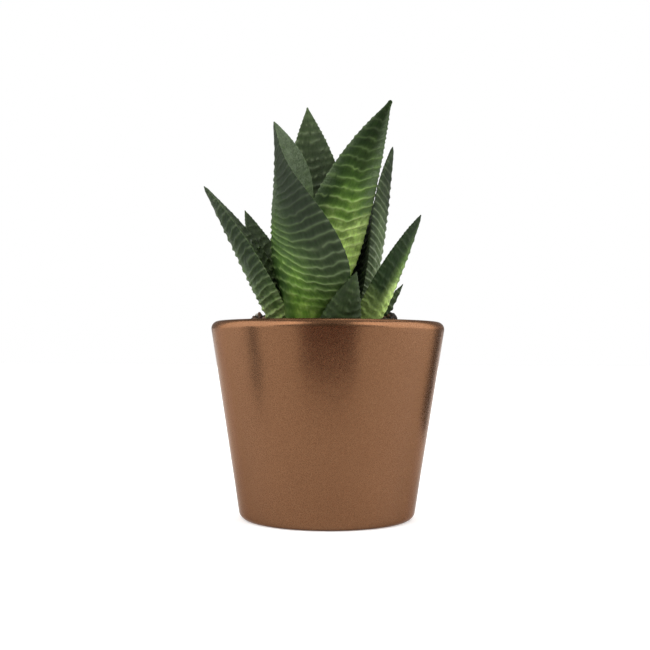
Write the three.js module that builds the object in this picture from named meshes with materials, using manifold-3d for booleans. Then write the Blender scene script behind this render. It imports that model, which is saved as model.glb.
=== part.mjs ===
// A haworthia with raised cross ridges on its thick pointed leaves, growing in a tapered metallic pot.
// Millimetres, +Z up. The origin is the middle of the pot's flat underside, and the front is -Y.

import * as THREE from "three";
import { mergeVertices } from "three/addons/utils/BufferGeometryUtils.js";
import Module from "manifold-3d";

const wasm = await Module();
wasm.setup();

// ---------------------------------------------------------------- driving dimensions

const POT = {
  height: 59,
  rimRadius: 35,
  baseRadius: 26.5,
  rimRounding: 2.2, // outer edge of the rim
  lipRounding: 0.9, // inner edge of the rim
  baseRounding: 2.4,
  wall: 3.2,
  floor: 4,
  insideRounding: 3,
  sides: 60,
};

const SOIL = {
  gap: 0.3, // to the pot
  edgeLevel: 56.6, // surface height at the wall
  moundLevel: 58.9, // surface height beside the leaves
  moundRadius: 17,
  heaps: [ // of crumbs, at x and y
    { x: -21.8, y: 0, rise: 2.6, spread: 4.2 },
    { x: 19.2, y: 2, rise: 2.5, spread: 3.6 },
  ],
  crumb: 0.6, // height of the lumps
  socketGap: 0.5, // round a leaf where it stands in the soil
  socketReach: 24, // length of leaf that can stand in the soil
  socketRows: 4,
  crownRadius: 11, // of the hole that the leaves' roots meet in
  crownLevel: 48, // from here up it has that radius
  collarLevel: 40, // and from here down it fits the stem
  mouthLevel: 66, // above every lump
  rings: [11, 15, 18.5, 21.5, 24.5, 27.5],
  sides: 40,
};

const STEM = {
  bottom: 34,
  bottomRadius: 2.5,
  waistLow: 43.7, // between these two heights it has its full radius
  waistHigh: 51.2,
  radius: 5.6,
  top: 55.5,
  topRadius: 3.4,
  sides: 16,
};

const CLEARANCE = 0.35; // between neighbouring pieces
const CLEARED_LENGTH = 0.985; // share of a leaf's length that its neighbours give way to
const CLEARED_ROWS = 14;
const STEEP_ROOM = 3.5; // more room along the margins, for each unit of a leaf's own channel

const RIDGE = {
  relief: 0.42, // how far a crest stands out of the leaf
  plainRoot: 12, // length of smooth leaf at the root
  plainTip: 1.6, // and at the tip
  rootFade: [0.1, 0.3], // shares of the length between which the crests rise to their full height
  tipFade: 0.25, // share of the length, from the tip, in which they sink again
};

const LEAF = {
  rootWidth: 0.36, // share of the full width at the root
  thickest: 0.75, // from here down a leaf keeps its full thickness
  edge: 0.45, // half the thickness of the rounded margin
  channel: 0.16, // depth of the hollow inner face, as a share of half the width, unless a leaf has its own
  innerSag: 1.3, // how far a ridge hangs lower in the middle of the inner face than at the margins
  sagFade: [0, 0.25], // shares of the length between which the ridges start to hang
  unevenSagFade: [0.15, 0.4], // and on a leaf with an innerHang and an outerHang
  innerColumns: 4,
  outerColumns: 6,
};

// Each leaf runs from its root on the stem to its tip. bow moves the middle of that line sideways. face
// gives the compass directions (degrees from +X towards +Y) in which the inner face looks at the root and
// at the tip: where they differ the leaf is twisted. widest is a share of the length from the tip, ridges
// the distance from crest to crest, and sag how far a ridge hangs lower in the middle of the outer face
// than at the margins. innerHang and outerHang say the same at even steps across a face, for a leaf on
// which the ridges hang unevenly. Inner leaves come first, because each leaf gives way to those before it.
const LEAVES = [
  {
    name: "leaf_centre",
    root: [-1, 0, 52], tip: [-6, 0, 89], bow: [0, -2, 0], face: [-70, -70],
    width: 11, widest: 0.6, thickness: 3.2, ridges: 2.4, sag: 1.5,
  },
  {
    name: "leaf_tall_right",
    root: [-6.3, 4, 51], tip: [19.5, 10, 128.8], bow: [-8.2, 2, 0], face: [-88, -96],
    width: 19.4, widest: 0.58, thickness: 4.6, ridges: 3.3,
    innerHang: [-4.6, -2.9, -1.7, -0.3, 0, 0.5, 1, 1.9, 2.3],
    outerHang: [-4.6, -2.4, -0.8, 0.6, 1.7, 2.4, 2.7, 2.7, 2.3],
  },
  {
    name: "leaf_front_left",
    root: [-6.8, -4, 51], tip: [-16.4, -5, 118.5], bow: [16, -6.5, 2.4], face: [63, -31],
    width: 30, widest: 0.61, thickness: 8, channel: 0.4, ridges: 2.6,
    innerHang: [-5, -3, -1.2, 0.2, 0.8],
    outerHang: [-5, -5, -5, -5, -4.5, -0.6, 2.6, 2.8, 0.8],
  },
  {
    name: "leaf_tall_back",
    root: [-2, 8, 50], tip: [-6.9, 16, 127.9], bow: [1.8, 6, 0], face: [-88, -88],
    width: 23.4, widest: 0.6, thickness: 5, ridges: 2.6, sag: 2.5,
  },
  {
    name: "leaf_right",
    root: [5.5, 6, 50], tip: [20.2, 13, 114.9], bow: [-4.7, 3, 0], face: [212, 174],
    width: 19, widest: 0.46, thickness: 5, ridges: 2.4, sag: 4,
  },
  {
    name: "leaf_left",
    root: [-6, -2, 49], tip: [-36.9, -7, 98.8], bow: [8.2, -3, 2], face: [-4, -5],
    width: 20, widest: 0.55, thickness: 6, ridges: 2.4, sag: 2,
  },
  {
    name: "leaf_front_right",
    root: [6, -4, 49], tip: [27.5, -6, 90.8], bow: [-2.8, -3, -0.5], face: [155, 160],
    width: 14, widest: 0.62, thickness: 3.2, ridges: 2.3, sag: 2,
  },
  {
    name: "leaf_back_left",
    root: [-5, 6, 49], tip: [-26.5, 14, 94.7], bow: [-0.3, 3, -0.3], face: [-50, -50],
    width: 14, widest: 0.6, thickness: 4.4, ridges: 2.4, sag: 2,
  },
  {
    name: "leaf_back_right",
    root: [3, 9, 48], tip: [6, 28, 98.6], bow: [1, 4, 0], face: [-105, -105],
    width: 18, widest: 0.6, thickness: 4.8, ridges: 2.6, sag: 2.5,
  },
  {
    name: "leaf_back_outer",
    root: [-4, 9, 47], tip: [-10.8, 30, 94.6], bow: [-2, 4, 0], face: [-70, -70],
    width: 17, widest: 0.6, thickness: 4.8, ridges: 2.6, sag: 2.5,
  },
  {
    name: "leaf_front_small",
    root: [0, -6, 46], tip: [8.1, -18, 72.8], bow: [-1, -5, -2], face: [92, 100],
    width: 13, widest: 0.72, thickness: 3.2, ridges: 2.3, sag: 1.5,
  },
  {
    name: "leaf_right_small",
    root: [7, 2, 47], tip: [23, 4, 70.9], bow: [-2, 0, -1], face: [175, 160],
    width: 7, widest: 0.7, thickness: 1.8, ridges: 2.2, sag: 1,
  },
];

const COPPER = { color: 0x87604a, roughness: 0.38, metalness: 0.75 };
const EARTH = { color: 0x2c1d14, roughness: 0.95, metalness: 0 };
const STEM_GREEN = { color: 0x8f9a5a, roughness: 0.6, metalness: 0 };
const LEAF_GREEN = { color: 0x3f6a2c, roughness: 0.5, metalness: 0 };

// ---------------------------------------------------------------- small helpers

const radians = THREE.MathUtils.degToRad;
const mix = THREE.MathUtils.lerp;
const smoothstep = THREE.MathUtils.smoothstep;

// A repeatable draw between -1 and 1 for each pair of whole numbers.
function lump(i, j) {
  const wave = Math.sin(i * 127.1 + j * 311.7) * 43758.5453;
  return 2 * (wave - Math.floor(wave)) - 1;
}

function toSolid(geometry) {
  geometry.deleteAttribute("normal");
  geometry.deleteAttribute("uv");
  const merged = mergeVertices(geometry, 1e-4);
  const corners = merged.index.array;
  const kept = [];
  for (let i = 0; i < corners.length; i += 3) {
    const [a, b, c] = [corners[i], corners[i + 1], corners[i + 2]];
    if (a !== b && b !== c && c !== a) kept.push(a, b, c);
  }
  return new wasm.Manifold(
    new wasm.Mesh({
      numProp: 3,
      vertProperties: merged.attributes.position.array,
      triVerts: new Uint32Array(kept),
    }),
  );
}

function toGeometry(solid) {
  const mesh = solid.getMesh();
  const geometry = new THREE.BufferGeometry();
  geometry.setAttribute("position", new THREE.BufferAttribute(mesh.vertProperties, mesh.numProp));
  geometry.setIndex(new THREE.BufferAttribute(mesh.triVerts, 1));
  geometry.computeVertexNormals();
  return geometry;
}

// A cut can leave scraps: only the largest body is the piece.
function largestBody(solid) {
  return solid.decompose().sort((a, b) => b.volume() - a.volume())[0];
}

function piece(name, solid, finish) {
  const mesh = new THREE.Mesh(toGeometry(solid), new THREE.MeshStandardMaterial(finish));
  mesh.name = name;
  return mesh;
}

// A closed skin over rings of points, from the ring at the bottom to the one at the top, with a middle point at
// each end. Each ring turns anticlockwise seen from its top end.
function skinOf(rings, bottom, top) {
  const count = rings[0].length;
  const points = [...rings.flat(), bottom, top];
  const [low, high] = [points.length - 2, points.length - 1];
  const faces = [];
  for (let i = 0; i < rings.length - 1; i++)
    for (let j = 0; j < count; j++) {
      const next = (j + 1) % count;
      const [a, b] = [i * count + j, i * count + next];
      const [c, d] = [a + count, b + count];
      faces.push(a, b, d, a, d, c);
    }
  const last = (rings.length - 1) * count;
  for (let j = 0; j < count; j++) {
    const next = (j + 1) % count;
    faces.push(low, next, j, high, last + j, last + next);
  }
  const geometry = new THREE.BufferGeometry().setFromPoints(points);
  geometry.setIndex(faces);
  return geometry;
}

// Points on an arc round (r, z), between two angles in degrees.
function arc(r, z, radius, from, to, steps) {
  const points = [];
  for (let i = 0; i <= steps; i++) {
    const angle = radians(mix(from, to, i / steps));
    points.push(new THREE.Vector2(r + radius * Math.cos(angle), z + radius * Math.sin(angle)));
  }
  return points;
}

// Revolves a profile of (radius, height) points about Z.
function turned(profile, sides) {
  return new THREE.LatheGeometry(profile, sides).rotateX(Math.PI / 2);
}

// ---------------------------------------------------------------- pot

// The outer wall is the straight line that touches the base rounding and the rim rounding.
const wallRise = POT.height - POT.rimRounding - POT.baseRounding;
const wallSpread = POT.rimRadius - POT.rimRounding - (POT.baseRadius - POT.baseRounding);
const wallTurn = Math.asin((POT.baseRounding - POT.rimRounding) / Math.hypot(wallRise, wallSpread));
const wallSlant = THREE.MathUtils.radToDeg(Math.atan2(wallSpread, wallRise) - wallTurn);

// The pot's inner radius at a height between the floor and the rim.
function innerRadius(z) {
  const slope = Math.tan(radians(wallSlant));
  const outer = POT.baseRadius + slope * (z - POT.baseRounding);
  return outer - POT.wall / Math.cos(radians(wallSlant));
}

function potSolid() {
  const lip = POT.height - POT.lipRounding;
  const inner = POT.floor + POT.insideRounding;
  const profile = [
    new THREE.Vector2(0, 0),
    ...arc(POT.baseRadius - POT.baseRounding, POT.baseRounding, POT.baseRounding, -90, -wallSlant, 4),
    ...arc(POT.rimRadius - POT.rimRounding, POT.height - POT.rimRounding, POT.rimRounding, -wallSlant, 90, 5),
    ...arc(innerRadius(lip) + POT.lipRounding, lip, POT.lipRounding, 90, 180 - wallSlant, 2),
    ...arc(innerRadius(inner) - POT.insideRounding, inner, POT.insideRounding, -wallSlant, -90, 2),
    new THREE.Vector2(0, POT.floor),
  ];
  return toSolid(turned(profile, POT.sides));
}

// ---------------------------------------------------------------- stem

// The short stem carries the leaves. Its lower part stands in the soil.
function stemSolid(growth = 0) {
  const bottom = STEM.bottom - growth;
  const top = STEM.top + growth;
  const profile = [
    new THREE.Vector2(0, bottom),
    new THREE.Vector2(STEM.bottomRadius + growth, bottom),
    new THREE.Vector2(STEM.radius + growth, STEM.waistLow),
    new THREE.Vector2(STEM.radius + growth, STEM.waistHigh),
    new THREE.Vector2(STEM.topRadius + growth, top),
    new THREE.Vector2(0, top),
  ];
  return toSolid(turned(profile, STEM.sides));
}

// ---------------------------------------------------------------- leaves

// Half the width at a share of the length from the tip: it swells in a smooth bow and narrows to the root.
function halfWidth(leaf, fromTip) {
  const full = leaf.width / 2;
  if (fromTip < leaf.widest) return full * (1 - (1 - fromTip / leaf.widest) ** 2);
  const narrowing = Math.cos((Math.PI / 2) * ((fromTip - leaf.widest) / (1 - leaf.widest))) ** 2;
  return full * mix(LEAF.rootWidth, 1, narrowing);
}

function thicknessAt(leaf, fromTip) {
  return leaf.thickness * (1 - (1 - Math.min(fromTip / LEAF.thickest, 1)) ** 2);
}

function spineOf(leaf) {
  const root = new THREE.Vector3(...leaf.root);
  const tip = new THREE.Vector3(...leaf.tip);
  const bend = root.clone().lerp(tip, 0.5).add(new THREE.Vector3(...leaf.bow));
  return new THREE.QuadraticBezierCurve3(root, bend, tip);
}

// How far a ridge hangs lower at this place across a face.
function hangAt(leaf, across, inside) {
  const steps = inside ? leaf.innerHang : leaf.outerHang;
  if (!steps) {
    return (inside ? LEAF.innerSag : leaf.sag) * (1 - across ** 2);
  }
  const place = ((1 + across) / 2) * (steps.length - 1);
  const step = Math.min(Math.floor(place), steps.length - 2);
  return mix(steps[step], steps[step + 1], place - step);
}

// The point of a leaf's skin at a share of its length and an angle round its section: 0 and 180 degrees
// are the margins, 90 is the middle of the inner face and 270 the middle of the outer face. raise lifts it
// off the skin, and lift raises the margins on the inner side. The powers of depth make the margins round
// and the outer face a full bow.
function leafPoint(leaf, spine, along, angle, raise, lift) {
  const across = Math.cos(angle);
  const inside = Math.sin(angle) > 0;
  const depth = Math.abs(Math.sin(angle));
  const bulk = halfWidth(leaf, 1 - along) / (leaf.width / 2);
  const fade = leaf.outerHang ? LEAF.unevenSagFade : LEAF.sagFade;
  const hang = hangAt(leaf, across, inside) * bulk * smoothstep(along, ...fade);
  const share = Math.max(along - hang / leaf.length, 0);
  const width = halfWidth(leaf, 1 - share);
  const thickness = thicknessAt(leaf, 1 - share);

  const tangent = spine.getTangent(share);
  const look = radians(mix(leaf.face[0], leaf.face[1], smoothstep(share, 0, 1)));
  const normal = new THREE.Vector3(Math.cos(look), Math.sin(look), 0);
  normal.addScaledVector(tangent, -normal.dot(tangent)).normalize();
  const side = normal.clone().cross(tangent);

  const edge = Math.min(LEAF.edge, 0.6 * width) * depth ** 0.7;
  const hollow = (leaf.channel ?? LEAF.channel) * width * depth ** 2;
  const height = inside ? edge - hollow : -edge - hollow - thickness * depth ** 1.5;
  const out = side.clone().multiplyScalar(across ** 3).addScaledVector(normal, inside ? depth : -depth);
  return spine
    .getPoint(share)
    .addScaledVector(side, across * width)
    .addScaledVector(normal, height + lift * Math.abs(across) ** 3)
    .addScaledVector(out.normalize(), raise);
}

// Angles round a leaf's section, with a margin at each end of both faces.
const SECTION = [];
for (let i = 0; i <= LEAF.innerColumns; i++) SECTION.push((Math.PI * i) / (LEAF.innerColumns + 1));
for (let i = 0; i <= LEAF.outerColumns; i++) SECTION.push(Math.PI * (1 + i / (LEAF.outerColumns + 1)));

// rows gives each ring's place from root to tip, and how far it stands out.
function leafSkin(leaf, rows, growth, lift = 0) {
  const spine = spineOf(leaf);
  const rings = rows.map(([along, raise]) =>
    SECTION.map((angle) => leafPoint(leaf, spine, along, angle, raise, lift)),
  );
  const root = new THREE.Vector3();
  for (const point of rings[0]) root.addScaledVector(point, 1 / SECTION.length);
  root.addScaledVector(spine.getTangent(0), -growth);
  const tip = spine.getPoint(1).addScaledVector(spine.getTangent(1), growth);
  return toSolid(skinOf(rings, root, tip));
}

// A leaf's rings: two on its smooth root, then a valley and a crest for each ridge.
function ridgedRows(leaf) {
  const rows = [
    [0, 0],
    [(0.5 * RIDGE.plainRoot) / leaf.length, 0],
  ];
  const ridged = leaf.length - RIDGE.plainRoot - RIDGE.plainTip;
  const count = Math.round(ridged / leaf.ridges);
  for (let i = 0; i < count; i++) {
    const valley = (RIDGE.plainRoot + (i * ridged) / count) / leaf.length;
    const crest = (RIDGE.plainRoot + ((i + 0.5) * ridged) / count) / leaf.length;
    const fade = smoothstep(1 - crest, 0, RIDGE.tipFade) * smoothstep(crest, ...RIDGE.rootFade);
    rows.push([valley, 0], [crest, RIDGE.relief * fade]);
  }
  rows.push([1 - RIDGE.plainTip / leaf.length, 0]);
  return rows;
}

// A smooth, slightly larger leaf up to a share of its length, which cuts room for the real one. Beside a
// deep channel the margins are steep, and need more room.
function roomFor(leaf, upTo, steps, clearance) {
  const growth = RIDGE.relief + clearance;
  const rows = [];
  for (let i = 0; i <= steps; i++) rows.push([(upTo * i) / steps, growth]);
  return leafSkin(leaf, rows, growth, growth * STEEP_ROOM * (leaf.channel ?? 0));
}

// ---------------------------------------------------------------- soil

// A hole round the stem and the leaves' roots, which their sockets open into.
function crownHole() {
  const bottom = STEM.bottom - SOIL.gap;
  const profile = [
    new THREE.Vector2(0, bottom),
    new THREE.Vector2(STEM.bottomRadius + SOIL.gap, bottom),
    new THREE.Vector2(STEM.radius + SOIL.gap, SOIL.collarLevel),
    new THREE.Vector2(SOIL.crownRadius, SOIL.crownLevel),
    new THREE.Vector2(SOIL.crownRadius, SOIL.mouthLevel),
    new THREE.Vector2(0, SOIL.mouthLevel),
  ];
  return toSolid(turned(profile, STEM.sides));
}

// How high the heaps of crumbs lie on the mound at a point.
function heapedUp(x, y) {
  let height = 0;
  for (const heap of SOIL.heaps)
    height += heap.rise * Math.exp(-(((x - heap.x) ** 2 + (y - heap.y) ** 2) / heap.spread ** 2));
  return height;
}

// A plug of potting soil that fills the pot, with a lumpy mound round the plant.
function soilSolid() {
  const ringOf = (radius, height) => {
    const ring = [];
    for (let j = 0; j < SOIL.sides; j++) {
      const angle = (2 * Math.PI * j) / SOIL.sides;
      const [x, y] = [radius * Math.cos(angle), radius * Math.sin(angle)];
      ring.push(new THREE.Vector3(x, y, height(j, x, y)));
    }
    return ring;
  };
  const edge = innerRadius(SOIL.edgeLevel);
  const moundRing = (radius, i) => {
    const level = mix(SOIL.moundLevel, SOIL.edgeLevel, smoothstep(radius, SOIL.moundRadius, edge));
    return ringOf(radius, (j, x, y) => level + heapedUp(x, y) + SOIL.crumb * lump(i + 1, j));
  };
  const floor = POT.floor + SOIL.gap;
  const corner = POT.floor + POT.insideRounding;
  const wall = SOIL.gap / Math.cos(Math.PI / POT.sides);
  const rings = [
    ringOf(innerRadius(corner) - POT.insideRounding, () => floor),
    ringOf(innerRadius(corner) - wall, () => corner + SOIL.gap),
    ringOf(edge - wall, () => SOIL.edgeLevel),
    ...SOIL.rings.toReversed().map(moundRing),
  ];
  const middle = new THREE.Vector3(0, 0, SOIL.moundLevel);
  return toSolid(skinOf(rings, new THREE.Vector3(0, 0, floor), middle));
}

// ---------------------------------------------------------------- assembly

const plant = new THREE.Group();
plant.add(piece("pot", potSolid(), COPPER));

const stem = stemSolid();
let taken = stemSolid(CLEARANCE);
let sockets = crownHole();
plant.add(piece("stem", stem, STEM_GREEN));

for (const leaf of LEAVES) {
  leaf.length = spineOf(leaf).getLength();
  const whole = leafSkin(leaf, ridgedRows(leaf), 0);
  plant.add(piece(leaf.name, largestBody(whole.subtract(taken)), LEAF_GREEN));
  taken = taken.add(roomFor(leaf, CLEARED_LENGTH, CLEARED_ROWS, CLEARANCE));
  sockets = sockets.add(roomFor(leaf, SOIL.socketReach / leaf.length, SOIL.socketRows, SOIL.socketGap));
}

plant.add(piece("soil", largestBody(soilSolid().subtract(sockets)), EARTH));

export default plant;
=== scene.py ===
"""A haworthia with raised cross ridges on its leaves, in a tapered pot with a metallic copper glaze.

The leaves, the pot and the soil repeat the forms of the CAD solids, much finer. Metres, +Z up, front at -Y."""

import math

import bpy
import numpy as np
from mathutils import Matrix, Vector


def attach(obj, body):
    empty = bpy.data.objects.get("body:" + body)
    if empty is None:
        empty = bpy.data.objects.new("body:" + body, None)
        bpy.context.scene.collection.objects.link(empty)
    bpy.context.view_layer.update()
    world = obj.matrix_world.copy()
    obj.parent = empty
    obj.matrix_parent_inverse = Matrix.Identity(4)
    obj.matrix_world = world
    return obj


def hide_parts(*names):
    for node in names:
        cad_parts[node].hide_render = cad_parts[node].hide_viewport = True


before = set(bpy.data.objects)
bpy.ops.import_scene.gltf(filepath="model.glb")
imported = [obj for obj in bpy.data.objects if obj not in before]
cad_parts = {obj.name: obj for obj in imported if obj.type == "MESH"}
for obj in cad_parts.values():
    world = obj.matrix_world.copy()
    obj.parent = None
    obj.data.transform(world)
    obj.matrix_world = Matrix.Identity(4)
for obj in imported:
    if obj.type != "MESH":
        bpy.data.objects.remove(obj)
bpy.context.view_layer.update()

MM = 0.001

# ------------------------------------------------------------------ dimensions, in millimetres, as in the CAD

POT = dict(
    height=59, rim=35, base=26.5, wall=3.2, floor=4,
    rim_round=2.2, lip_round=0.9, base_round=2.4, inside_round=3,
)
SOIL = dict(gap=0.3, edge_level=56.6, mound_level=58.9, mound_radius=17)
LEAF = dict(root_width=0.36, thickest=0.75, edge=0.45, channel=0.16, inner_sag=1.3)
SAG_FADE = (0, 0.25)  # and for a leaf on which the ridges hang unevenly:
UNEVEN_SAG_FADE = (0.15, 0.4)
RIDGE = dict(
    relief=0.42, plain_root=12, plain_tip=1.6, root_fade=(0.1, 0.3), tip_fade=0.25,
    # The finer form is the scene's own.
    crest=(0.12, 0.17),  # width of a whole and of a broken crest, as a share of the spacing
    bead=(1.4, 0.8),  # length of what a crest breaks into, where the inner face is whole and where it is broken
    margin=0.9,  # width of the leaf's margin
    tooth=0.2,  # height of the teeth on it
)
HEAPS = [(-21.8, 0, 2.3, 4.6), (19.2, 2, 2.3, 3.8)]  # x, y, rise and spread: a little flatter than in the CAD
GRAIN_REACH = 30  # from the pot's axis
FACET = dict(along=0.2, inner=0.26, outer=0.22)  # size of a leaf's faces
OUTER_FACE = 60  # sets the outer face apart from the inner one in the noises

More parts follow.
